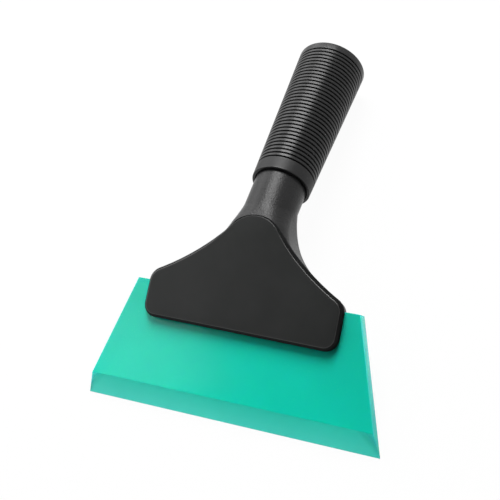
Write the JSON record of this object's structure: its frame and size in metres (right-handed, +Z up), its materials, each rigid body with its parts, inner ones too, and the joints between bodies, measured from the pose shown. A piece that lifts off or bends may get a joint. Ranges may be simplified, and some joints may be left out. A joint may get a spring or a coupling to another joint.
{
  "type": "shower squeegee",
  "caption": "Hand squeegee with a thick bevelled blade screwed between a flat front plate and a flared handle with a ribbed, bent-back grip.",
  "frame": {"origin": "on the floor under the middle of the bounding box, with the squeegee lying on its back", "axes": "+Y from the blade's tip towards the grip's end, +X along the blade's edge, +Z up out of the front plate's side"},
  "size_m": [0.15, 0.197, 0.0429],
  "materials": {
    "handle_moulding": "satin black moulding",
    "plate_moulding": "matte black moulding",
    "blade_elastomer": "satin translucent turquoise polyurethane",
    "grip_rubber": "matte black soft grip",
    "screw_steel": "zinc-plated steel",
    "insert_brass": "plain brass"
  },
  "bodies": {
    "handle": {"handle_body": "handle_moulding", "grip_sleeve": "grip_rubber", "end_plug": "handle_moulding"},
    "front_jaw": {"front_plate": "plate_moulding", "plate_insert_left": "insert_brass", "plate_insert_right": "insert_brass", "plate_insert_top": "insert_brass"},
    "blade": {"blade": "blade_elastomer"},
    "screw_left": {"clamp_screw_left": "screw_steel"},
    "screw_right": {"clamp_screw_right": "screw_steel"},
    "screw_top": {"clamp_screw_top": "screw_steel"}
  },
  "joints": [
    {"name": "blade_slide", "type": "slide", "parent": "handle", "child": "blade", "axis": [1, 0, 0], "range_m": [-0.108, 0.108]},
    {"name": "screw_left_turn", "type": "hinge", "parent": "handle", "child": "screw_left", "pos_m": [-0.028, -0.03522, 0.02059], "axis": [0, 0.3375, -0.9413], "range_deg": [0, 1080]},
    {"name": "screw_right_turn", "type": "hinge", "parent": "handle", "child": "screw_right", "pos_m": [0.028, -0.03522, 0.02059], "axis": [0, 0.3375, -0.9413], "range_deg": [0, 1080]},
    {"name": "screw_top_turn", "type": "hinge", "parent": "handle", "child": "screw_top", "pos_m": [0, -0.01828, 0.02666], "axis": [0, 0.3375, -0.9413], "range_deg": [0, 1080]},
    {"name": "jaw_opening", "type": "slide", "parent": "handle", "child": "front_jaw", "axis": [0, -0.3375, 0.9413], "range_m": [0, 0.0015]}
  ],
  "couplings": [
    {"joint": "screw_left_turn", "follows": "jaw_opening", "rad_per_m": 12566},
    {"joint": "screw_right_turn", "follows": "jaw_opening", "rad_per_m": 12566},
    {"joint": "screw_top_turn", "follows": "jaw_opening", "rad_per_m": 12566}
  ]
}
